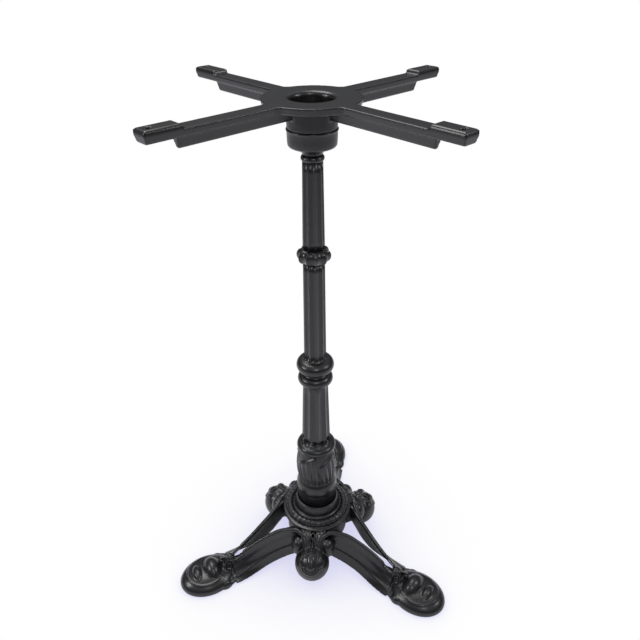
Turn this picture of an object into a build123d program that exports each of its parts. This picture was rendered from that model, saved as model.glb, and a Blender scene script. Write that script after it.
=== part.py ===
from build123d import *
from math import cos, pi, radians, sin
import os

# Three leg cast iron table base, upright on the floor, millimetres.
# Origin: on the column's axis, at floor level.

# Driving sizes of the whole
height = 720.0            # floor to the tops of the four pads
leg_count = 3
arm_count = 4
flute_count = 10
arm_turn = 45.0           # first arm, degrees from +X
base_turn = -3.8          # the clamped base sits a little off square to the arms
flute_turn = -4.75        # one arris of the column, degrees from +X

# Tie rod and its fasteners
rod_d = 10.0
rod_gap = 0.5             # radial gap round the rod in the castings
nut_flats = 16.0
nut_height = 8.0
washer_d = 21.0
washer_thick = 2.0
rod_stand = 3.0           # rod past each nut

# Top spider
screw_circle_r = 197.0    # table screw holes, from the axis
screw_hole_d = 7.5
screw_end = 10.0          # screw hole to the arm's end
arm_width = 21.0
arm_thick = 8.0
arm_draft = 13.0
pad_length = 41.0
pad_rise = 4.6
pad_edge = 1.2
rib_width = 9.5
rib_depth = 12.0
rib_short = 35.0          # rib ends this far before the arm's end
ring_r = 55.8
ring_bore_r = 24.5
ring_lip = 4.6            # rounding of the hub hole's rim
ring_corner = 7.0
boss_r = 28.4
boss_drop = 33.0          # arm top to the joint with the column
boss_floor = 8.0
spigot_depth = 6.0
spigot_wall = 5.0
seat_gap = 0.3            # radial gap of the two spigots

# Column, from the top down
cup_r = 28.6
cup_lip_r = 29.4
cup_lip_high = 2.0
cup_high = 19.5
cup_wall = 4.6
neck_r = 11.6
neck_high = 10.0
top_ring_r = 13.8
top_ring_high = 8.0
shaft_top_r = 12.3
shaft_bead_r = 13.9       # shaft beside the flute bead
shaft_knot_r = 15.2       # shaft above the double knot
shaft_low_r = 17.6        # shaft under the double knot
shaft_foot_r = 21.0       # shaft at the leaf bulb
flute_depth = 0.13        # depth of a flute, share of the radius there
bead_z = 527.0
bead_r = 21.8
bead_half = 9.0
knot_z = 361.0
knot_r = 25.9
knot_half = 10.0
knot_low_drop = 22.5      # upper knot to lower knot
knot_low_r = 24.4
knot_low_half = 8.5
knot_waist_r = 20.0
collar_z = 213.0
collar_r = 28.9
collar_half = 7.0
bulb_top_r = 25.0
bulb_r = 29.8
bulb_foot_r = 26.5
bulb_high = 57.0
bulb_lobes = 20
bulb_lobe_depth = 0.05
bulb_twist = 10.0
leaf_count = 5
leaf_curl_r = 1.9
ring_foot_r = 31.0
ring_foot_high = 24.0
foot_neck_r = 28.8
core_top_r = 7.0          # cored bore above the knot
core_low_r = 11.0         # between the knot and the collar
core_foot_r = 19.0        # inside the leaf bulb and the foot

# Base casting
hub_rim_z = 105.0         # top edge of the socket round the column's foot
hub_rim_r = 31.8
hub_step_r = 35.6
hub_step_z = 87.5
socket_depth = 8.0
rope_r = 43.4
rope_half = 6.0
rope_notches = 36
rope_notch_deep = 1.6
rope_notch_turn = 1.6     # degrees from a notch's middle to the bead beside it
disc_r = 54.2
disc_z = 81.0
disc_thick = 7.0
hub_low_r = 47.0
hub_low_z = 40.0
hub_wall = 7.0
hub_floor = 9.0

# Legs: each has two walls that run from the knees and meet at the foot
foot_reach = 188.0        # middle of the shoe, from the axis
foot_long = 44.5
foot_wide = 35.0
foot_equator = 5.0
foot_dome = 19.0
heel_back = 22.0          # the shoe's wings, behind its middle
heel_long = 26.0
heel_wide = 33.0
heel_dome = 9.0
toes = ((-4.0, 15.5, 24.0, 20.0, 11.0), (16.0, 12.5, 21.0, 17.5, 10.0))
boss_back = 38.0          # small ball where the two rims meet
boss_ball_r = 8.0
boss_ball_z = 25.0
collar_back = 25.0
collar_half_wide = 24.0
wall_start = 54.0         # where a wall leaves the knee, from the axis
wall_end = foot_reach - boss_back
wall_shares = (0.0, 1 / 6, 3 / 8, 7 / 12, 19 / 24, 1.0)     # of the way from start to end
wall_sides = (26.0, 19.5, 13.0, 8.5, 6.0, 4.5)              # from the leg's middle
wall_reaches = [wall_start + share * (wall_end - wall_start) for share in wall_shares]
wall_path = list(zip(wall_reaches, wall_sides))
wall_tops = (79.0, 72.0, 62.0, 50.0, 37.0, 24.0)
wall_foots = (30.0, 24.0, 19.5, 13.0, 6.0, 3.0)
wall_leans = (8.0, 9.0, 15.0, 21.0, 23.5, 24.0)
wall_thick = 7.0
rim_half = 3.8            # half width of the rolled rim
wall_step = 0.62          # where the lower band starts, share of the wall's depth
panel_sink = 1.6
rim_start = ((59.0, -11.5, 69.0), (57.0, -19.0, 75.0), (53.5, -27.0, 78.5))

# Knees: scrolls, stems and the hanging drop between two legs
drop_reach = 77.5
drop_z = 36.5
drop_r = 26.5
tongue_half = 8.5
tongue_low = 38.0         # degrees up the drop where the tongue ends
tongue_rim = 2.2
root_z = 54.0             # block under the disc that a knee grows from
root_deep = 30.0
root_wide = 44.0
root_high = 34.0
scroll_reach = 61.5
scroll_side = 23.5
scroll_z = 54.5
scroll_half = (13.0, 11.0, 17.0)
stem_r = 2.6
stem_sides = (-9.0, -4.5, 0.0, 4.5, 9.0)

# Sizes that follow
arm_top = height - pad_rise
arm_reach = screw_circle_r + screw_end
joint_z = arm_top - boss_drop
cup_low_z = joint_z - cup_high
top_ring_z = cup_low_z - neck_high
shaft_top_z = top_ring_z - top_ring_high
socket_z = hub_rim_z - socket_depth
bulb_z = collar_z - collar_half
ring_foot_z = bulb_z - bulb_high
bore_r = rod_d / 2 + rod_gap
boss_bore_z = joint_z + boss_floor
cup_bore_r = cup_r - cup_wall
nut_top_z = boss_bore_z + washer_thick
hub_under_z = socket_z - hub_floor
nut_low_z = hub_under_z - washer_thick - nut_height


def ring_points(count, radius, turn, z):
    step = 2 * pi / count
    start = radians(turn)
    return [(radius * cos(start + i * step), radius * sin(start + i * step), z) for i in range(count)]


def scalloped(count, radius, middle, turn, z):
    # Closed outline of hollows in short straight runs: corners on one circle, middles on another
    corners = ring_points(count, radius, turn, z)
    middles = ring_points(count, middle, turn + 180.0 / count, z)
    arcs = [ThreePointArc(corners[i], middles[i], corners[(i + 1) % count]) for i in range(count)]
    points = [arc @ share for arc in arcs for share in (0, 0.25, 0.5, 0.75)]
    return make_face(Polyline(*points, close=True))


def fluted(stations):
    # Fluted length through stations of (height, radius)
    faces = [scalloped(flute_count, r, r * (1 - flute_depth), flute_turn, z) for z, r in stations]
    return loft(faces, ruled=True)


def turned(points):
    # Solid of revolution from (radius, height) corners, closed along the axis
    line = Polyline(*[(r, 0, z) for r, z in points], close=True)
    return revolve(make_face(line), Axis.Z)


def round_profile(z, radius, half, steps=5):
    # Half round in few straight runs, bulging out to the full radius
    angles = [pi * i / steps - pi / 2 for i in range(steps + 1)]
    return [(radius - half + half * cos(a), z + half * sin(a)) for a in angles]


def torus_ring(z, radius, half):
    points = round_profile(z, radius, half)
    return turned([(0, z - half)] + points + [(0, z + half)])


def egg(spot, halves, sides=12, rings=6):
    # Ellipsoid of flat faces, its poles on the Z axis
    half_x, half_y, half_z = halves
    layers = []
    for i in range(1, rings):
        a = pi * i / rings - pi / 2
        corners = [(half_x * cos(a) * cos(2 * pi * k / sides), half_y * cos(a) * sin(2 * pi * k / sides),
                    half_z * sin(a)) for k in range(sides)]
        layers.append(make_face(Polyline(*corners, close=True)))
    return Pos(*spot) * loft([Vertex(0, 0, -half_z)] + layers + [Vertex(0, 0, half_z)], ruled=True)


def tube(points, radius, sides=6):
    # Rod of flat faces through the points
    layers = []
    for i, point in enumerate(points):
        before = Vector(*points[max(i - 1, 0)])
        after = Vector(*points[min(i + 1, len(points) - 1)])
        plane = Plane(origin=point, z_dir=after - before, x_dir=Vector(0, 0, 1).cross(after - before))
        layers.append(plane * RegularPolygon(radius, sides))
    return loft(layers, ruled=True)


def polar(shape, count, start):
    return [Rot(0, 0, start + 360.0 / count * i) * shape for i in range(count)]


def bored(shape, radius, low, high):
    cut = Pos(0, 0, low) * Cylinder(radius, high - low, align=(Align.CENTER, Align.CENTER, Align.MIN))
    return shape - cut


# Top spider
def arm_plan():
    bar = Pos(arm_reach / 2, 0) * Rectangle(arm_reach, arm_width)
    plan = Circle(ring_r) + polar(bar, arm_count, arm_turn)
    corners = [v for v in plan.vertices() if abs(Vector(v.X, v.Y).length - ring_r) < 0.5]
    return fillet(corners, ring_corner)


def pad():
    plan = Pos(arm_reach - pad_length / 2, 0, arm_top) * Rectangle(pad_length, arm_width)
    block = extrude(plan, amount=pad_rise, taper=12)
    edges = block.edges().filter_by(lambda e: e.center().Z > height - 0.1)
    return chamfer(edges, pad_edge)


def top_spider():
    body = extrude(Pos(0, 0, arm_top) * arm_plan(), amount=-arm_thick, taper=arm_draft)
    body += polar(pad(), arm_count, arm_turn)
    rib_reach = arm_reach - rib_short
    rib = Pos(rib_reach / 2, 0, arm_top - arm_thick) * Rectangle(rib_reach, rib_width)
    rib = extrude(rib, amount=-rib_depth, taper=12)
    body += polar(rib, arm_count, arm_turn)
    body += turned([(0, joint_z), (boss_r, joint_z), (boss_r + 0.5, arm_top - 1), (0, arm_top - 1)])
    spigot_r = cup_bore_r - seat_gap
    low = joint_z - spigot_depth
    body += turned([(0, low), (spigot_r - 0.8, low), (spigot_r, low + 0.8), (spigot_r, joint_z + 1), (0, joint_z + 1)])
    body = bored(body, ring_bore_r, boss_bore_z, height)
    body = bored(body, spigot_r - spigot_wall, low - 1, joint_z)
    body = bored(body, bore_r, low - 1, height)
    lip = [(ring_bore_r + ring_lip * (1 - cos(radians(a))), arm_top - ring_lip * (1 - sin(radians(a))))
           for a in (0, 30, 60, 90)]
    body -= turned([(0, arm_top - ring_lip)] + lip + [(ring_bore_r + ring_lip, height), (0, height)])
    hole = Pos(screw_circle_r, 0, height) * Cylinder(screw_hole_d / 2, 4 * arm_thick)
    for cut in polar(hole, arm_count, arm_turn):
        body -= cut
    return body


# Column
def half_round(z, base_r, full_r, half, count=6):
    # Stations of a bead: a half ellipse of fluted outlines
    stations = []
    for i in range(count):
        a = pi * i / (count - 1)
        stations.append((z - half * cos(a), base_r + (full_r - base_r) * sin(a)))
    return stations


def cup():
    low = cup_low_z
    points = [(0, joint_z), (cup_lip_r, joint_z), (cup_lip_r, joint_z - cup_lip_high),
              (cup_r, joint_z - cup_lip_high - 1), (cup_r - 0.6, low + 1), (cup_r - 1.6, low),
              (neck_r + 5, low - 2.5), (neck_r + 1, low - 6), (neck_r, low - neck_high + 1),
              (neck_r, top_ring_z - top_ring_high), (0, top_ring_z - top_ring_high)]
    body = turned(points)
    body += torus_ring(top_ring_z - top_ring_high / 2, top_ring_r, top_ring_high / 2)
    return body


def foot_ring():
    top = ring_foot_z
    low = top - ring_foot_high
    inner = ring_foot_r - 8
    points = [(0, top + 4), (bulb_foot_r - 2, top + 4), (bulb_foot_r, top - 2), (ring_foot_r - 1, top - 9),
              (ring_foot_r, top - 15), (ring_foot_r - 1, low + 4), (foot_neck_r, low),
              (foot_neck_r, socket_z), (0, socket_z)]
    return turned(points)


def leaf_curl():
    # Rolled edge of one leaf: rises round the bulb from its middle to the collar
    route = []
    for i in range(6):
        share = i / 5
        a = radians(-26 + 60 * share)
        r = bulb_r - 0.5 - 1.4 * share
        route.append((r * cos(a), r * sin(a), bulb_z - 20 + 17 * share))
    return tube(route, leaf_curl_r)


def star(count, radius, depth, turn, z):
    # Closed zigzag: ridges on one circle, valleys inside it
    ridges = ring_points(count, radius, turn, z)
    valleys = ring_points(count, radius * (1 - depth), turn + 180.0 / count, z)
    corners = [spot for pair in zip(ridges, valleys) for spot in pair]
    return make_face(Polyline(*corners, close=True))


def leaf_bulb():
    faces = []
    for share, r in ((0.0, bulb_foot_r), (0.22, bulb_r - 1), (0.5, bulb_r), (0.8, bulb_r - 1.6), (1.0, bulb_top_r)):
        z = ring_foot_z + bulb_high * share
        faces.append(star(bulb_lobes, r, bulb_lobe_depth, bulb_twist * share, z))
    bulb = loft(faces, ruled=True)
    for curl in polar(leaf_curl(), leaf_count, -90):
        bulb += curl
    return bulb


def column_casting():
    knot_low_z = knot_z - knot_low_drop
    body = cup()
    body += fluted([(bead_z, shaft_bead_r), (shaft_top_z, shaft_top_r)])
    body += fluted([(knot_z, shaft_knot_r), (bead_z, shaft_bead_r)])
    body += fluted([(collar_z, shaft_foot_r), (knot_low_z, shaft_low_r)])
    body += fluted(half_round(bead_z, shaft_bead_r - 0.5, bead_r, bead_half))
    body += torus_ring(knot_z, knot_r, knot_half)
    body += torus_ring(knot_low_z, knot_low_r, knot_low_half)
    body += turned([(0, knot_low_z - 9), (knot_waist_r - 1, knot_low_z - 9), (knot_waist_r, knot_low_z),
                    (knot_waist_r, knot_z), (knot_waist_r - 3, knot_z + 9), (0, knot_z + 9)])
    body += torus_ring(collar_z, collar_r, collar_half)
    body += turned([(0, bulb_z - 1), (bulb_top_r, bulb_z - 1), (bulb_top_r, collar_z), (0, collar_z)])
    body += leaf_bulb()
    body += foot_ring()
    body -= turned([(0, socket_z - 1), (core_foot_r, socket_z - 1), (core_foot_r, bulb_z - 18), (core_low_r, bulb_z),
                    (core_low_r, knot_low_z), (core_top_r, knot_z), (core_top_r, height), (0, height)])
    return bored(body, cup_bore_r, joint_z - spigot_depth - 1, joint_z + 1)


# Base casting
def rope_outline(radius, z):
    # Two corners to each bead and one at the bottom of each notch
    step = 360.0 / rope_notches
    corners = []
    for i in range(rope_notches):
        for turn, r in ((0, radius - rope_notch_deep), (rope_notch_turn, radius), (step - rope_notch_turn, radius)):
            a = radians(i * step + turn)
            corners.append((r * cos(a), r * sin(a), z))
    return make_face(Polyline(*corners, close=True))


def rope():
    # Half round ring between the hub's step and the disc, notched into beads
    middle = hub_step_z - 2.5
    levels = [(rope_r + rope_half * cos(radians(a)), middle + rope_half * sin(radians(a))) for a in (-40, 0, 35, 65, 90)]
    ring = loft([rope_outline(r, z) for r, z in levels], ruled=True)
    top = middle + rope_half
    ring = bored(ring, rope_r - rope_half, disc_z - rope_half, top + 1)
    return ring - turned([(0, middle), (rope_r - rope_half, middle), (rope_r - 3, top - 1), (rope_r, top), (0, top)])


def hub():
    low_in = hub_low_r - hub_wall
    points = [(0, socket_z), (foot_neck_r + seat_gap, socket_z), (foot_neck_r + seat_gap, hub_rim_z - 1),
              (foot_neck_r + seat_gap + 1, hub_rim_z), (hub_rim_r - 0.6, hub_rim_z), (hub_rim_r, hub_rim_z - 1),
              (hub_step_r, hub_step_z), (hub_step_r + 0.2, hub_step_z - 2),
              (rope_r + 3, hub_step_z - 2), (rope_r + 4, disc_z),
              (disc_r - 1, disc_z), (disc_r, disc_z - 1.2), (disc_r - 1.5, disc_z - disc_thick),
              (hub_low_r + 1, disc_z - disc_thick - 4), (hub_low_r, hub_low_z), (low_in, hub_low_z),
              (low_in - 8, hub_under_z), (0, hub_under_z)]
    body = turned(points)
    return bored(body, bore_r, 0, height)


def wall_frame(i):
    # Upright plane across the wall at one station, its X pointing out of the leg
    before = wall_path[max(i - 1, 0)]
    after = wall_path[min(i + 1, len(wall_path) - 1)]
    along = (Vector(*after) - Vector(*before)).normalized()
    return Plane(origin=(*wall_path[i], 0), x_dir=(-along.Y, along.X, 0), z_dir=(along.X, along.Y, 0))


def wall_face(i):
    half = wall_thick / 2
    fall = wall_tops[i] - wall_foots[i]

    def at(down, off):
        return (wall_leans[i] * down + off, wall_tops[i] - fall * down)

    points = [at(0, half), at(0.16, half - panel_sink), at(wall_step - 0.05, half - panel_sink),
              at(wall_step, half), at(1, half + 0.8), at(1, -half), at(0, -half)]
    return wall_frame(i) * make_face(Polyline(*points, close=True))


def wall_rim():
    # Rolled rim: rises off the knee's stems, then follows the wall's top into the foot
    turn = Rot(0, 0, 180 / leg_count)
    points = [tuple((turn * Pos(*spot)).position) for spot in rim_start]
    points += [(*spot, top) for spot, top in zip(wall_path[:-1], wall_tops)]
    return tube(points, rim_half)


def wall():
    return loft([wall_face(i) for i in range(len(wall_path))], ruled=True) + wall_rim()


def foot():
    # Domed shoe with two toes across it, a collar and a small ball behind
    body = egg((foot_reach, 0, foot_equator), (foot_long, foot_wide, foot_dome))
    body += egg((foot_reach - heel_back, 0, heel_dome / 2), (heel_long, heel_wide, heel_dome))
    for ahead, half_long, half_wide, half_high, z in toes:
        body += egg((foot_reach + ahead, 0, z), (half_long, half_wide, half_high))
    body += egg((foot_reach - collar_back, 0, boss_ball_z / 2), (5.5, collar_half_wide, boss_ball_z * 0.8))
    body += egg((foot_reach - boss_back, 0, boss_ball_z), (boss_ball_r, boss_ball_r, boss_ball_r), 10)
    return split(body, bisect_by=Plane.XY, keep=Keep.TOP)


def drop_spot(up, lift=0.0):
    a = radians(up)
    return (drop_reach + (drop_r + lift) * cos(a), 0, drop_z + (drop_r + lift) * sin(a))


def tongue():
    # Raised strip over the top of the drop, with a rounded lower end
    points = [drop_spot(tongue_low + 22 * i, -tongue_half * 0.62) for i in range(4)]
    return tube(points, tongue_half, 10) + egg(points[0], (tongue_half, tongue_half, tongue_half), 10)


def tongue_rib():
    # Crescent under the tongue
    points = []
    for i in range(7):
        a = radians(-75 + 25 * i)
        x, y, z = drop_spot(tongue_low - 15 * cos(a), -0.8)
        points.append((x - 3 * (1 - cos(a)), (tongue_half + 3.6) * sin(a), z))
    return tube(points, tongue_rim)


def stem(side):
    return tube([(hub_low_r, side, disc_z - disc_thick - 1), (disc_r + 4, side, disc_z - 7),
                 (drop_reach - 13, side * 0.8, drop_z + 25), (drop_reach, side * 0.6, drop_z + 24)], stem_r)


def knee():
    # Modelled with the knee on +X
    body = egg((drop_reach, 0, drop_z), (drop_r, drop_r, drop_r * 1.08))
    for side in (-1, 1):
        body += egg((scroll_reach, side * scroll_side, scroll_z), scroll_half)
    for side in stem_sides:
        body += stem(side)
    body += Pos(disc_r, 0, root_z) * Box(root_deep, root_wide, root_high)
    return body + tongue() + tongue_rib()


def base_casting():
    body = hub() + rope()
    leg = wall()
    both = leg + mirror(leg, about=Plane.XZ) + foot()
    body += polar(both, leg_count, 90 + base_turn)
    body += polar(knee(), leg_count, 270 + base_turn)
    return body


# Tie rod and fasteners
def nut(z):
    hexagon = RegularPolygon(nut_flats / 2, 6, major_radius=False)
    block = extrude(Pos(0, 0, z) * hexagon, amount=nut_height)
    return bored(block, rod_d / 2, z - 1, z + nut_height + 1)


def washer(z):
    disc = extrude(Pos(0, 0, z) * Circle(washer_d / 2), amount=washer_thick)
    return bored(disc, bore_r, z - 1, z + washer_thick + 1)


def tie_rod():
    low = nut_low_z - rod_stand
    high = nut_top_z + nut_height + rod_stand
    rod = Pos(0, 0, low) * Cylinder(rod_d / 2, high - low, align=(Align.CENTER, Align.CENTER, Align.MIN))
    return chamfer(rod.edges().filter_by(GeomType.CIRCLE), 1)


nodes = {
    "top_spider": top_spider,
    "column_casting": column_casting,
    "base_casting": base_casting,
    "tie_rod": tie_rod,
    "top_washer": lambda: washer(boss_bore_z),
    "top_nut": lambda: nut(nut_top_z),
    "bottom_washer": lambda: washer(hub_under_z - washer_thick),
    "bottom_nut": lambda: nut(nut_low_z),
}

os.makedirs("parts", exist_ok=True)
for name, make in nodes.items():
    export_step(make(), "parts/" + name + ".step")
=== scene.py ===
# %% [markdown]
# A cast iron table base: three feet, one fluted column, four arms.
# The castings arrive as solids at their real size. This lesson gives them the soft edges,
# the grain and the black coating that sand casting and powder coating leave.

# %% Load the castings
import bpy
import bmesh
from math import cos, degrees, pi, radians, sin
from mathutils import Matrix, Vector


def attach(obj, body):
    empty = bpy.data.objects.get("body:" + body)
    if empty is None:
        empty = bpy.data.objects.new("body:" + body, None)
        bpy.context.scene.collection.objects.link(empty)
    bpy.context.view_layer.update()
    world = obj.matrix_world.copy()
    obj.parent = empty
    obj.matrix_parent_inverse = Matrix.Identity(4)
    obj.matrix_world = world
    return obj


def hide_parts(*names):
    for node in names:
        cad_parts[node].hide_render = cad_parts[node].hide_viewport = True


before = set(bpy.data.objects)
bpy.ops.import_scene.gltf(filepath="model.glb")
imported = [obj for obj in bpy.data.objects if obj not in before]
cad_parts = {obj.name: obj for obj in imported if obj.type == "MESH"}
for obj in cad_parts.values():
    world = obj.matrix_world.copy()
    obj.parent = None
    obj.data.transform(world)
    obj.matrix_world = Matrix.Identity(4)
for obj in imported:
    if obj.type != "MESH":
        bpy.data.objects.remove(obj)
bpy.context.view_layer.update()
MM = 0.001
print("castings:", sorted(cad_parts))

# %% [markdown]
# The camera stands where the photographer stood. Its height, distance, tilt and lens were
# found by matching points of the arms, rings and feet, so they are kept as plain sizes.

# %% Camera
PHOTO_PIXELS = 640
FOCAL_PIXELS = 623.9
CAMERA_DISTANCE = 691.2 * MM
CAMERA_HEIGHT = 871.9 * MM
TILT_DOWN = radians(32.49)
PAN = radians(0.58)
ROLL = radians(-0.43)
OBJECT_TURN = radians(2.75)


def aim_camera():
    flat = PAN - OBJECT_TURN
    forward = Vector((sin(flat) * cos(TILT_DOWN), cos(flat) * cos(TILT_DOWN), -sin(TILT_DOWN)))
    level = Vector((cos(flat), -sin(flat), 0))
    upright = level.cross(forward)
    right = cos(ROLL) * level + sin(ROLL) * upright
    up = cos(ROLL) * upright - sin(ROLL) * level
    camera_data = bpy.data.cameras.new("photo_camera")
    camera_data.sensor_width = 36.0
    camera_data.lens = 36.0 * FOCAL_PIXELS / PHOTO_PIXELS
    camera_data.clip_start = 0.01
    camera = bpy.data.objects.new("photo_camera", camera_data)
    bpy.context.scene.collection.objects.link(camera)
    turn = Matrix((right, up, -forward)).transposed().to_4x4()
    place = Vector((CAMERA_DISTANCE * sin(OBJECT_TURN), -CAMERA_DISTANCE * cos(OBJECT_TURN), CAMERA_HEIGHT))
    camera.matrix_world = Matrix.Translation(place) @ turn
    bpy.context.scene.camera = camera
    return camera


camera = aim_camera()
print("camera at", tuple(round(c, 3) for c in camera.location))

# %% [markdown]
# ## Colours and shader nodes
# A colour picked on screen is in sRGB, while the renderer adds up light in linear values, so
# one function turns each hex code into linear numbers. A second one adds a shader node with
# its settings and links in one call, which keeps the materials below short.

# %% Colours and nodes
def linear(code):
    parts = [int(code[i:i + 2], 16) / 255 for i in (1, 3, 5)]
    return tuple(p / 12.92 if p <= 0.04045 else ((p + 0.055) / 1.055) ** 2.4 for p in parts) + (1.0,)


def add_node(tree, kind, settings=None, inputs=None, links=None):
    node = tree.nodes.new(kind)
    for name, value in (settings or {}).items():
        setattr(node, name, value)
    for name, value in (inputs or {}).items():
        node.inputs[name].default_value = value
    for name, source in (links or {}).items():
        tree.links.new(source, node.inputs[name])
    return node


# %% [markdown]
# ## The black coating
# Powder coating over sand-cast iron is black with a soft shine. Two things make it look real:
# a fine grain that breaks up the highlights, and a roughness that wanders a little from place
# to place, because the coat is thicker in the hollows. Both patterns run on Object coordinates,
# in real millimetres, so that every casting gets the same grain whatever its size.

# %% Black coating on cast iron
LUMP_MM = 6
GRAIN_MM = 1.6
CLOUD_MM = 22.0


def coated_iron():
    material = bpy.data.materials.new("black_coated_iron")
    material.use_nodes = True
    tree = material.node_tree
    tree.nodes.clear()
    place = add_node(tree, "ShaderNodeTexCoord")
    # Lumps of the sand mould under the coat: they make the highlights waver
    lumps = add_node(tree, "ShaderNodeTexNoise", {}, {"Scale": 1 / (LUMP_MM * MM), "Detail": 2.0},
                     {"Vector": place.outputs["Object"]})
    lump_bump = add_node(tree, "ShaderNodeBump", {}, {"Strength": 0.25, "Distance": 0.16 * MM},
                         {"Height": lumps.outputs["Fac"]})
    # Orange peel of the powder: it takes the mirror out of the shine
    grain = add_node(tree, "ShaderNodeTexNoise", {}, {"Scale": 1 / (GRAIN_MM * MM), "Detail": 3.0},
                     {"Vector": place.outputs["Object"]})
    bump = add_node(tree, "ShaderNodeBump", {}, {"Strength": 0.2, "Distance": 0.04 * MM},
                    {"Height": grain.outputs["Fac"], "Normal": lump_bump.outputs["Normal"]})
    # Thick and thin coat: satin in some places, a little glossier in others
    cloud = add_node(tree, "ShaderNodeTexNoise", {}, {"Scale": 1 / (CLOUD_MM * MM), "Detail": 4.0},
                     {"Vector": place.outputs["Object"]})
    shine = add_node(tree, "ShaderNodeMapRange", {}, {"To Min": 0.24, "To Max": 0.36},
                     {"Value": cloud.outputs["Fac"]})
    shader = add_node(tree, "ShaderNodeBsdfPrincipled", {}, {"Base Color": linear("#121214")},
                      {"Normal": bump.outputs["Normal"], "Roughness": shine.outputs["Result"]})
    add_node(tree, "ShaderNodeOutputMaterial", {}, {}, {"Surface": shader.outputs["BSDF"]})
    return material


# %% [markdown]
# ## The zinc plating
# The rod, its nuts and washers are bought parts with a dull zinc coat. It is metallic, so its
# colour tints the reflection, and only its roughness changes from spangle to spangle. Then
# every casting and fastener from the CAD model gets one of the two materials.

# %% Zinc plating of the rod, nuts and washers
SPANGLE_MM = 2.5


def zinc_plate():
    material = bpy.data.materials.new("dull_zinc_plate")
    material.use_nodes = True
    tree = material.node_tree
    tree.nodes.clear()
    place = add_node(tree, "ShaderNodeTexCoord")
    # Spangle: patches of slightly different brightness, as on plated steel
    spangle = add_node(tree, "ShaderNodeTexVoronoi", {}, {"Scale": 1 / (SPANGLE_MM * MM)},
                       {"Vector": place.outputs["Object"]})
    shine = add_node(tree, "ShaderNodeMapRange", {}, {"To Min": 0.3, "To Max": 0.5},
                     {"Value": spangle.outputs["Distance"]})
    shader = add_node(tree, "ShaderNodeBsdfPrincipled", {},
                      {"Base Color": linear("#b9b9b4"), "Metallic": 1.0},
                      {"Roughness": shine.outputs["Result"]})
    add_node(tree, "ShaderNodeOutputMaterial", {}, {}, {"Surface": shader.outputs["BSDF"]})
    return material


iron = coated_iron()
zinc = zinc_plate()
castings = ("top_spider", "column_casting", "base_casting")
for name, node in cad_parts.items():
    node.data.materials.clear()
    node.data.materials.append(iron if name in castings else zinc)
print("materials on", len(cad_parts), "nodes")

# %% [markdown]
# ## Working in millimetres
# Every casting below is modelled in millimetres, the unit it was drawn in, and turned into
# metres once, when it becomes an object. A few small tools repeat: a ball for what was
# modelled by hand in the pattern, a tube for rims and stems, and a skin that joins them.
# The skin is a voxel remesh, because a casting is one body: where two shapes meet the metal
# flows round the corner, and no separate meshes would show that.

# %% Modelling tools
def as_object(bm, name, node, grain=0.0, soften=0):
    bmesh.ops.scale(bm, vec=(MM, MM, MM), verts=bm.verts)
    bmesh.ops.recalc_face_normals(bm, faces=bm.faces)
    mesh = bpy.data.meshes.new(name)
    bm.to_mesh(mesh)
    bm.free()
    mesh.materials.append(iron)
    mesh.shade_smooth()
    piece = bpy.data.objects.new(name, mesh)
    bpy.context.scene.collection.objects.link(piece)
    if grain:
        skin = piece.modifiers.new("one_casting", "REMESH")
        skin.mode = "VOXEL"
        skin.voxel_size = grain * MM
        skin.use_smooth_shade = True
        soft = piece.modifiers.new("soft_corners", "SMOOTH")
        soft.factor = 0.5
        soft.iterations = soften
    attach(piece, "root")
    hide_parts(node)
    print(name, "from", len(mesh.polygons), "faces")
    return piece


def ball(bm, centre, halves, rows=24):
    place = Matrix.Translation(centre) @ Matrix.Diagonal((*halves, 1))
    bmesh.ops.create_uvsphere(bm, u_segments=2 * rows, v_segments=rows, radius=1, matrix=place)


def loft(bm, rings):
    loops = []
    for ring in rings:
        corners = [bm.verts.new(spot) for spot in ring]
        edges = [bm.edges.new((corners[i - 1], corners[i])) for i in range(len(corners))]
        if loops:
            bmesh.ops.bridge_loops(bm, edges=loops[-1] + edges)
        loops.append(edges)
    bmesh.ops.edgeloop_fill(bm, edges=loops[0])
    bmesh.ops.edgeloop_fill(bm, edges=loops[-1])


def smooth_points(points, count):
    # Points evenly spread along a soft curve through the given ones
    points = [Vector(p) for p in points]
    padded = [2 * points[0] - points[1]] + points + [2 * points[-1] - points[-2]]
    spread = []
    for i in range(count):
        t = i / (count - 1) * (len(points) - 1)
        k = min(int(t), len(points) - 2)
        t -= k
        a, b, c, d = padded[k:k + 4]
        spread.append(0.5 * (2 * b + (c - a) * t + (2 * a - 5 * b + 4 * c - d) * t * t
                             + (3 * b - 3 * c + d - a) * t * t * t))
    return spread


def tube(bm, points, radius, count=16, sides=12, thin_end=1.0):
    spots = smooth_points(points, count)
    rings = []
    for i, spot in enumerate(spots):
        along = (spots[min(i + 1, count - 1)] - spots[max(i - 1, 0)]).normalized()
        guide = Vector((0, 0, 1)) if abs(along.z) < 0.9 else Vector((1, 0, 0))
        side = along.cross(guide).normalized()
        over = side.cross(along)
        r = radius * (1 + (thin_end - 1) * i / (count - 1))
        turns = [2 * pi * k / sides for k in range(sides)]
        rings.append([spot + r * (cos(turn) * side + sin(turn) * over) for turn in turns])
    loft(bm, rings)


def spun(bm, profile, steps):
    corners = [bm.verts.new((r, 0, z)) for r, z in profile]
    edges = [bm.edges.new((corners[i - 1], corners[i])) for i in range(len(corners))]
    bmesh.ops.spin(bm, geom=corners + edges, axis=(0, 0, 1), cent=(0, 0, 0), angle=2 * pi,
                   steps=steps, use_merge=True)


def refined(points, step):
    # The same outline with a point at least every step
    fine = []
    for (r0, z0), (r1, z1) in zip(points, points[1:] + points[:1]):
        count = max(1, int(((r1 - r0) ** 2 + (z1 - z0) ** 2) ** 0.5 / step))
        fine += [(r0 + (r1 - r0) * i / count, z0 + (z1 - z0) * i / count) for i in range(count)]
    return fine


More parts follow.
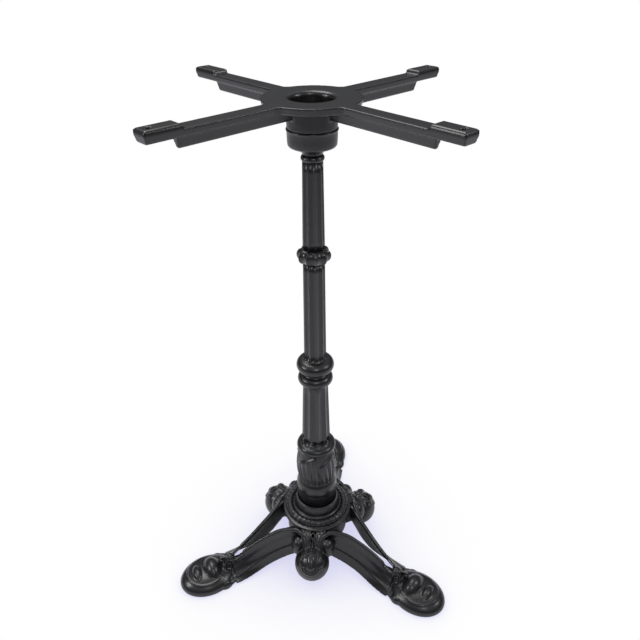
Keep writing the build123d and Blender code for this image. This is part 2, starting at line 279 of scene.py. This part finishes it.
def bead_line(z, radius, half, count=14, spread=90):
    # A half round standing out to the radius, from top to bottom
    turns = [radians(spread - 2 * spread * i / count) for i in range(count + 1)]
    return [(radius - half + half * cos(a), z + half * sin(a)) for a in turns]


# %% [markdown]
# ## The column
# The column is one casting, and nearly all of it is turned, so one outline spun about the axis
# makes it. The outline goes down the outside and back up the cored inside, which keeps it
# a closed solid with a real wall.
# What isn't turned is moved afterwards, vertex by vertex: ten hollow flutes with sharp
# arrises between them, and five leaves round the bulb. Moving points of a fine spin keeps the
# rings crisp, where sculpting or cutting the flutes would leave ragged edges against them.

# %% Column outline
JOINT_Z = 682.4
BEAD_Z, BEAD_HALF = 527.0, 9.0
KNOT_Z, LOW_KNOT_Z = 361.0, 338.5
COLLAR_Z = 213.0
BULB_TOP, BULB_LOW = 206.0, 149.0
SOCKET_Z = 97.0
FLUTES = 10
FLUTE_DEPTH = 0.15
FLUTE_TURN = -4.75
LEAVES = 5
LEAF_SINK = 0.6
COLUMN_STEPS = 240


def bulb_line():
    rows = 64
    heights = [BULB_TOP - (BULB_TOP - BULB_LOW) * i / rows for i in range(rows + 1)]
    radii = smooth_points([(r, 0, 0) for r in (25.0, 28.2, 29.4, 29.4, 28.6, 26.2)], rows + 1)
    return [(r.x, z) for r, z in zip(radii, heights)]


def column_outline():
    # The cup and the neck under it
    line = [(24.0, JOINT_Z - 7), (24.0, JOINT_Z), (28.9, JOINT_Z), (29.3, JOINT_Z - 0.5),
            (29.3, JOINT_Z - 1.6), (28.7, JOINT_Z - 2.3), (28.5, JOINT_Z - 3.2), (28.4, 672.0),
            (28.1, 666.0), (27.8, 664.3), (26.9, 663.0), (25.4, 662.2), (21.0, 661.2),
            (16.6, 659.5), (13.6, 657.0), (12.0, 654.2), (11.5, 652.9)]
    line += bead_line(648.9, 13.7, 3.9)
    line += refined([(12.2, 644.9), (13.9, BEAD_Z + BEAD_HALF)], 12)[:10]
    line += [(13.6 + 8.1 * max(0, 1 - ((z - BEAD_Z) / BEAD_HALF) ** 2) ** 0.5, z)
             for z in [BEAD_Z + BEAD_HALF * cos(pi * i / 16) for i in range(17)]]
    line += refined([(13.9, BEAD_Z - BEAD_HALF), (15.2, KNOT_Z + 10.5)], 12)[:13]
    line += bead_line(KNOT_Z, 25.9, 10.0, 18, 86)
    line += bead_line(LOW_KNOT_Z, 24.4, 8.5, 16, 80)
    line += refined([(17.7, LOW_KNOT_Z - 9.0), (21.0, COLLAR_Z + 7.5)], 10)[:12]
    line += bead_line(COLLAR_Z, 28.8, 7.0, 14, 88)
    line += bulb_line()
    # The plain ring and the foot in the socket, then back up the cored inside
    line += [(27.6, 147.0), (29.2, 144.2), (30.2, 141.0), (30.7, 137.0), (30.8, 133.0),
             (30.4, 129.4), (29.4, 126.6), (28.8, 125.0), (28.7, 124.0), (28.7, SOCKET_Z)]
    line += [(19.0, SOCKET_Z), (19.0, 188.0), (11.0, 206.0), (11.0, LOW_KNOT_Z), (7.0, KNOT_Z),
             (7.0, JOINT_Z - 7)]
    return line


def flute_share(angle):
    # 0 on an arris, 1 in the middle of a hollow
    across = ((degrees(angle) - FLUTE_TURN) * FLUTES / 360) % 1
    return 1 - (2 * across - 1) ** 2


def leaf_lift(angle, up):
    # Height of the leaf carving above the bulb, in mm, for one turn and one height share
    across = (degrees(angle) * LEAVES / 360 + 0.06 + 0.16 * up) % 1
    edge = 0.62 + 0.36 * across ** 0.8
    vein = cos(2 * pi * 4.5 * (across - 0.55) * (0.72 + 0.55 * (1 - up)))
    body = 0.9 * sin(pi * across) ** 0.5 + 0.8 * vein
    body *= min(1, 3.5 * max(0.0, edge - up)) ** 0.5
    roll = 2.5 * max(0.0, 1 - abs(up - edge) / 0.045) ** 0.5 * min(1, 6 * across)
    tip = 0.9 * max(0.0, 1 - up / 0.1) * sin(pi * (across * 4 % 1))
    gap = -1.6 * max(0.0, 1 - min(across, 1 - across) / 0.05)
    return max(-1.6, body + roll + gap + tip) if up < 0.985 else 0.0


def column():
    bm = bmesh.new()
    spun(bm, column_outline(), COLUMN_STEPS)
    for vert in bm.verts:
        r = vert.co.xy.length
        z = vert.co.z
        angle = Vector((1, 0)).angle_signed(vert.co.xy.normalized()) * -1
        shaft = (LOW_KNOT_Z - 9.5 > z > COLLAR_Z + 7 or 645.0 > z > KNOT_Z + 10.2) and r > 11.5
        if shaft:
            vert.co.xy *= 1 - FLUTE_DEPTH * flute_share(angle)
        elif BULB_TOP > z > BULB_LOW and r > 22:
            up = (z - BULB_LOW) / (BULB_TOP - BULB_LOW)
            vert.co.xy *= 1 + (leaf_lift(angle, up) - LEAF_SINK) / r
    return as_object(bm, "fluted_column", "column_casting")


column()

# %% [markdown]
# ## The spider
# Arms, ring, ribs and pads of the spider are already right in the CAD model, edge by edge,
# and only too sharp. So a copy of that mesh is merged and given the same cast skin as the
# rest: the remesh rounds every edge by about a millimetre, as draft and coating do.

# %% Spider
def spider():
    bm = bmesh.new()
    bm.from_mesh(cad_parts["top_spider"].data)
    bm.transform(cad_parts["top_spider"].matrix_world)
    bmesh.ops.remove_doubles(bm, verts=bm.verts, dist=0.01 * MM)
    bmesh.ops.scale(bm, vec=(1 / MM, 1 / MM, 1 / MM), verts=bm.verts)
    return as_object(bm, "crossed_arms", "top_spider", grain=1.25, soften=3)


spider()

# %% [markdown]
# ## The hub of the base
# The hub is turned as well: the collar round the column, the beaded ring and the plain disc.
# The beads are made like the flutes, by moving points of the spin: 36 narrow notches sink
# into the ring, each as wide as a file, and what stays between them reads as beads.

# %% Hub
BASE_TURN = -3.8
BEADS = 36
NOTCH_DEEP, NOTCH_SHARE = 1.5, 0.16
HUB_STEPS = 432
RING_R, RING_Z, RING_HALF = 43.4, 85.0, 6.0


def hub():
    bm = bmesh.new()
    turns = [radians(a) for a in range(25, 216, 10)]
    ring = [(RING_R - RING_HALF * cos(a), RING_Z + RING_HALF * sin(a)) for a in turns]
    line = [(29.1, SOCKET_Z), (29.1, 103.6), (29.7, 104.8), (30.6, 105.0), (31.4, 104.7), (31.9, 103.8)]
    line += refined([(31.9, 103.8), (35.4, 88.6)], 3)[1:6]
    line += [(35.4, 88.6), (36.2, 87.6), (37.2, 87.2)] + ring
    line += [(50.2, 80.9), (53.0, 80.8), (53.8, 80.3), (54.1, 79.4), (53.6, 76.0), (52.7, 74.0),
             (50.0, 72.2), (48.2, 70.2), (47.2, 66.0), (47.0, 40.2), (40.0, 40.2), (32.0, 88.0),
             (5.5, 88.0), (5.5, SOCKET_Z)]
    spun(bm, line, HUB_STEPS)
    for vert in bm.verts:
        r = vert.co.xy.length
        off = Vector((r - RING_R, vert.co.z - RING_Z))
        if abs(off.length - RING_HALF) < 0.1 and off.y > -4:
            angle = Vector((1, 0)).angle_signed(vert.co.xy.normalized()) * -1
            turn = (degrees(angle) * BEADS / 360) % 1
            sink = NOTCH_DEEP * max(0.0, 1 - min(turn, 1 - turn) / NOTCH_SHARE)
            swell = 1 - sink / RING_HALF
            vert.co.xy *= (RING_R + off.x * swell) / r
            vert.co.z = RING_Z + off.y * swell
    return as_object(bm, "beaded_hub", "base_casting")


hub()

# %% [markdown]
# ## The legs
# Each leg is two thin walls that leave the knees on either side and run together into one
# domed foot. A wall is lofted: one section of it, with its rolled rim, two raised lines and
# a plain lower band, is repeated along a curved path while it gets lower and leans out more.
# Lofting is the right tool here, because the section stays readable as a short list.

# %% Leg walls
WALL_STATIONS = (
    # reach, side, top, bottom, lean, all in mm
    (43.0, 31.5, 79.0, 35.0, 7.0),
    (54.0, 26.0, 79.0, 30.0, 8.0),
    (70.0, 19.5, 72.0, 22.0, 8.5),
    (90.0, 13.0, 62.0, 14.0, 11.5),
    (110.0, 8.5, 50.0, 8.5, 17.0),
    (130.0, 6.0, 37.0, 4.5, 21.5),
    (150.0, 4.5, 24.0, 2.5, 24.0),
)
WALL_SECTION = (
    # share of the way down, mm out from the middle of the wall
    (0.0, 3.2), (0.08, 2.6), (0.16, 1.7), (0.26, 1.7), (0.31, 2.2), (0.335, 3.4), (0.36, 2.2), (0.42, 1.7),
    (0.56, 1.8), (0.62, 2.3), (0.645, 4.0), (0.675, 2.9), (0.70, 3.9), (0.73, 3.3), (0.86, 3.6), (0.96, 4.2),
    (1.0, 3.8), (1.0, -3.0), (0.75, -3.2), (0.4, -3.2), (0.0, -3.2),
)
RIM_START = ((59.0, -11.5, 69.0), (57.0, -19.0, 75.0), (53.5, -27.0, 78.5))
WALL_STEPS = 30
SHORT_LINE, SHORT_LINE_HIGH = 0.335, 1.7


def wall(bm, side):
    spots = smooth_points([(x, y, 0) for x, y, top, low, lean in WALL_STATIONS], WALL_STEPS)
    tops = smooth_points([(top, low, lean) for x, y, top, low, lean in WALL_STATIONS], WALL_STEPS)
    rings = []
    for i, (spot, (top, low, lean)) in enumerate(zip(spots, tops)):
        along = (spots[min(i + 1, WALL_STEPS - 1)] - spots[max(i - 1, 0)]).normalized()
        out = Vector((-along.y, along.x, 0))
        ring = []
        for down, off in WALL_SECTION:
            if down == SHORT_LINE:
                # The upper raised line fades out a little way from the knee
                off -= SHORT_LINE_HIGH * min(1, max(0, i - 4) / 7)
            corner = spot + out * (lean * down + off)
            ring.append((corner.x, side * corner.y, top + (low - top) * down))
        rings.append(ring)
    loft(bm, rings)
    turn = Matrix.Rotation(radians(60), 3, "Z")
    rim = [turn @ Vector(spot) for spot in RIM_START]
    rim += [Vector(station[:3]) for station in WALL_STATIONS[2:-1]]
    route = [(p.x, side * p.y, p.z) for p in rim]
    tube(bm, route, 3.7, 48, 16, 0.85)
    # Short raised strokes across the rim, one about every nine millimetres
    marks = smooth_points(route, 120)
    for i in range(34, 118, 9):
        across = (marks[i + 1] - marks[i - 1]).cross(Vector((0, 0, 1))).normalized() * 2.4
        crown = marks[i] + Vector((0, 0, 3.5))
        drop = Vector((0, 0, 1.1))
        tube(bm, [crown - across - drop, crown, crown + across - drop], 0.6, 6, 8)


# %% [markdown]
# ## The feet
# The foot is hand-modelled in the pattern: a low shoe with a wing on each side, a large inner
# and a smaller outer toe with a thin line round them, and a collar with a ball behind it
# where the walls' rims meet. Stretched balls are enough, since the cast skin runs them
# together. They are cut flat at the floor afterwards.

# %% Feet
LEGS = 3
LEG_TURN = 90 + BASE_TURN
SHOE = ((188.0, 0, 5.0), (44.0, 34.6, 18.2))


def turned(bm, start, number):
    # To its place round the axis: the first at the start angle, the others a third of a turn on
    turn = Matrix.Rotation(radians(start + 120 * number), 3, "Z")
    bmesh.ops.rotate(bm, verts=bm.verts, matrix=turn)


def on_shoe(x, y, lift):
    (cx, cy, cz), (hx, hy, hz) = SHOE
    return (x, y, cz + lift + hz * max(0.0, 1 - ((x - cx) / hx) ** 2 - (y / hy) ** 2) ** 0.5)


def foot(bm):
    ball(bm, *SHOE, 36)
    ball(bm, (165, 0, 4.5), (25.5, 32.4, 8.6), 30)
    ball(bm, (180.5, 0, 12.0), (15.0, 22.0, 21.0), 32)
    ball(bm, (204.0, 0, 10.5), (10.0, 18.5, 15.5), 32)
    # A thin raised line round the toes
    turns = [radians(a) for a in range(-130, 131, 20)]
    tube(bm, [on_shoe(190 + 29.5 * cos(a), 25.5 * sin(a), -0.5) for a in turns], 1.5, 60, 12)
    # The collar: a plain three-sided face with a rolled edge, and a swelling on each wing
    apex = Vector((157, 0, 33))
    loft(bm, [[(148, -19, 1), (148, 19, 1), (149, 0, 29)],
              [(165, -24, 1), (165, 24, 1), (158, 0, 31)]])
    for side in (-1, 1):
        ball(bm, (168, side * 26.0, 3.0), (11, 7.5, 9.5), 30)
        tube(bm, [(166.5, side * 23, 6), (163, side * 11.5, 18), apex], 1.9, 10, 12)
    ball(bm, (150.5, 0, 27.5), (7.5, 7.5, 7.5), 20)
    # The floor of the slot, where the two walls run together
    ball(bm, (138, 0, 13), (19, 9, 9), 24)


def leg(number):
    bm = bmesh.new()
    wall(bm, 1)
    wall(bm, -1)
    foot(bm)
    everything = bm.verts[:] + bm.edges[:] + bm.faces[:]
    cut = bmesh.ops.bisect_plane(bm, geom=everything, plane_co=(0, 0, 0), plane_no=(0, 0, -1),
                                 clear_outer=True)
    rim = [e for e in cut["geom_cut"] if isinstance(e, bmesh.types.BMEdge)]
    bmesh.ops.holes_fill(bm, edges=rim)
    turned(bm, LEG_TURN, number)
    return as_object(bm, "walled_leg_" + str(number + 1), "base_casting", grain=1.15, soften=3)


for number in range(LEGS):
    leg(number)

# %% [markdown]
# ## The knees
# Between two legs hangs a drop with a tongue laid over it, a double crescent under the
# tongue and a scroll on each side. Thin blades fan out under the disc above. It is the
# finest carving of the base, so its skin is finer too.

# %% Knees
KNEE_TURN = 150 + BASE_TURN
DROP_REACH, DROP_Z, DROP_R = 77.5, 35.5, 26.6


def on_drop(up, side, lift):
    # A point over the drop: up in degrees from level, side in mm, lift in mm
    a = radians(up)
    r = (DROP_R ** 2 - side ** 2) ** 0.5 + lift
    return (DROP_REACH + r * cos(a), side, DROP_Z + 1.03 * r * sin(a))


def knee(number):
    bm = bmesh.new()
    ball(bm, (DROP_REACH, 0, DROP_Z), (DROP_R, DROP_R, DROP_R * 1.03), 40)
    tube(bm, [on_drop(up, 0, -5.6) for up in (38, 56, 74, 90, 104)], 8.0, 24, 24)
    ball(bm, on_drop(37, 0, -5.6), (8.0, 8.0, 8.0))
    for gap, radius in ((2.6, 1.1), (6.2, 1.5)):
        crescent = []
        for i in range(11):
            a = radians(-80 + 16 * i)
            crescent.append(on_drop(39 - (17 + 1.9 * gap) * cos(a), (8.2 + gap) * sin(a), 0.2))
        tube(bm, crescent, radius, 36, 10)
    for side in (-1, 1):
        ball(bm, (61.5, side * 22.5, 54.5), (13.0, 11.5, 17.0), 32)
        # Strip beside the tongue, its curled top, and one side of the point over the tongue
        tube(bm, [on_drop(40, side * 15.0, -1.2), on_drop(58, side * 14.6, 0.2),
                  on_drop(76, side * 13.6, 0.4)], 2.7, 16, 12)
        tube(bm, [on_drop(68, side * 12.0, 0.6), on_drop(74, side * 15, 1.2),
                  on_drop(66, side * 18.0, 0.4)], 1.4, 12, 10)
        tube(bm, [on_drop(66, side * 8.5, 1.4), on_drop(75, side * 4.5, 2.6),
                  on_drop(82, 0, 3.0)], 1.3, 10, 10)
        # Blades that fan out under the disc, then one side of the small eye between them
        for start, end in ((17.0, 12.5), (11.4, 8.6), (5.8, 4.8)):
            tube(bm, [(48, side * start, 77.5), (57, side * start * 0.97, 74),
                      (65, side * end, 66.5), (72, side * end * 0.9, 59)], 2.6, 20, 12, 0.8)
        tube(bm, [(55, 0, 77.5), (59, side * 3.0, 75.0), (63, 0, 70.5)], 1.2, 10, 10)
    tube(bm, [(63, 0, 71), (67, 0, 66.5), (72, 0, 62.5)], 1.4, 10, 10)
    # The root that all of it grows from, under the disc
    root = Matrix.Translation((49, 0, 50)) @ Matrix.Diagonal((20, 46, 26, 1))
    bmesh.ops.create_cube(bm, size=1, matrix=root)
    turned(bm, KNEE_TURN, number)
    return as_object(bm, "knee_drop_" + str(number + 1), "base_casting", grain=0.85, soften=3)


for number in range(LEGS):
    knee(number)

# %% [markdown]
# ## Floor, backdrop and light
# The photo is a studio cut-out: a white ground, a soft shadow, and broad lights that leave
# long highlights on everything that faces up. Black iron shows mostly what it reflects, so
# the lights are large and near, and the ground stays pale.

# %% Floor, backdrop and light
GROUND = "#ffffff"
# Colour of the painted shadow on the ground, which only the camera sees
SHADE = "#c6c6ea"


def pale_stage():
    # For every bounce the floor is pale paper. The camera alone sees it as an even ground with a painted
    # shadow, as in a retouched product photo: an emission colour that darkens only where the object closes
    # off the light
    bpy.ops.mesh.primitive_plane_add(size=12)
    floor = bpy.context.object
    floor.name = "floor"
    material = bpy.data.materials.new("pale_paper_painted_shadow")
    material.use_nodes = True
    tree = material.node_tree
    paper = tree.nodes["Principled BSDF"]
    paper.inputs["Base Color"].default_value = linear("#f1f0f6")
    paper.inputs["Roughness"].default_value = 0.9
    path = add_node(tree, "ShaderNodeLightPath")
    open_sky = add_node(tree, "ShaderNodeAmbientOcclusion", {"samples": 16}, {"Distance": 0.22})
    # Painted shadow: ambient occlusion mixes the camera's emission colour from GROUND towards SHADE near the
    # object, in place of a cast shadow
    painted_shadow_tone = add_node(tree, "ShaderNodeMix", {"data_type": "RGBA"}, {}, {0: open_sky.outputs["AO"]})
    painted_shadow_tone.inputs[6].default_value = linear(SHADE)
    painted_shadow_tone.inputs[7].default_value = linear(GROUND)
    painted_shadow_ground = add_node(tree, "ShaderNodeEmission", {}, {"Strength": 1.0}, {"Color": painted_shadow_tone.outputs[2]})
    both = add_node(tree, "ShaderNodeMixShader", {}, {},
                    {0: path.outputs["Is Camera Ray"], 1: paper.outputs["BSDF"],
                     2: painted_shadow_ground.outputs["Emission"]})
    tree.links.new(both.outputs["Shader"], tree.nodes["Material Output"].inputs["Surface"])
    floor.data.materials.append(material)
    return floor


def studio_air():
    # Bright ceiling and dim walls, with the ground's own tone for the camera
    world = bpy.data.worlds.new("studio_air")
    bpy.context.scene.world = world
    world.use_nodes = True
    tree = world.node_tree
    room = tree.nodes["Background"]
    room.inputs["Color"].default_value = (0.96, 0.97, 1.0, 1)
    place = add_node(tree, "ShaderNodeTexCoord")
    split = add_node(tree, "ShaderNodeSeparateXYZ", {}, {}, {0: place.outputs["Generated"]})
    rise = add_node(tree, "ShaderNodeMapRange", {"interpolation_type": "SMOOTHSTEP"},
                    {"From Min": 0.05, "From Max": 0.95, "To Min": 0.07, "To Max": 0.75},
                    {"Value": split.outputs["Z"]})
    tree.links.new(rise.outputs["Result"], room.inputs["Strength"])
    ground = add_node(tree, "ShaderNodeBackground", {}, {"Color": linear(GROUND), "Strength": 1.0})
    path = add_node(tree, "ShaderNodeLightPath")
    both = add_node(tree, "ShaderNodeMixShader", {}, {},
                    {0: path.outputs["Is Camera Ray"], 1: room.outputs["Background"],
                     2: ground.outputs["Background"]})
    tree.links.new(both.outputs["Shader"], tree.nodes["World Output"].inputs["Surface"])


def soft_lamp(name, place, target, size, power):
    data = bpy.data.lights.new(name, "AREA")
    data.shape = "DISK"
    data.size = size
    data.energy = power
    lamp = bpy.data.objects.new(name, data)
    bpy.context.scene.collection.objects.link(lamp)
    lamp.location = place
    lamp.rotation_euler = (Vector(target) - Vector(place)).to_track_quat("-Z", "Y").to_euler()
    return lamp


pale_stage()
soft_lamp("ceiling_softbox", (-0.5, 0.6, 2.3), (0, 0, 0.3), 1.3, 26)
soft_lamp("left_strip", (-1.5, -0.5, 1.1), (0, 0, 0.3), 0.5, 9)
soft_lamp("right_strip", (1.4, -0.2, 1.3), (0, 0, 0.3), 0.4, 6)
soft_lamp("front_glow", (0.3, -1.6, 1.9), (0, 0, 0.2), 0.5, 7)
studio_air()
bpy.context.scene.view_settings.view_transform = "Standard"
